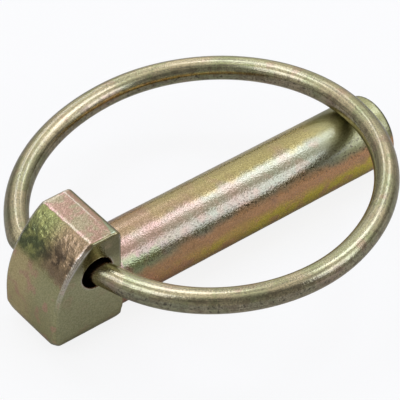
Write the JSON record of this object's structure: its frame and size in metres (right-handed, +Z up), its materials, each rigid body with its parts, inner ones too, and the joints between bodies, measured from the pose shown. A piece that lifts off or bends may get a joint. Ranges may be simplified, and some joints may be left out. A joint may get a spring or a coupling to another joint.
{
  "type": "lynch pin",
  "caption": "Lynch pin: a round forged pin with a block head, and a sprung wire ring that swings over from the head and lies across the tip to hold the pin in place.",
  "frame": {"origin": "on the axis of the shank, at the shoulder where the shank leaves the back of the head", "axes": "+X along the shank to its tip, +Y across the head, +Z up towards the head's flat top"},
  "size_m": [0.0618, 0.0551, 0.0175],
  "materials": {
    "pin_steel": "yellow passivated zinc plating on forged steel, iridescent, satin",
    "ring_wire": "yellow passivated zinc plating on drawn spring wire, bright satin"
  },
  "bodies": {
    "pin": {"pin": "pin_steel"},
    "ring": {"ring": "ring_wire"}
  },
  "joints": [
    {"name": "ring_swing", "type": "hinge", "parent": "pin", "child": "ring", "pos_m": [-0.00555, 0, 0.0058], "axis": [0.2291, -0.969, 0.0924], "range_deg": [0, 341]}
  ]
}
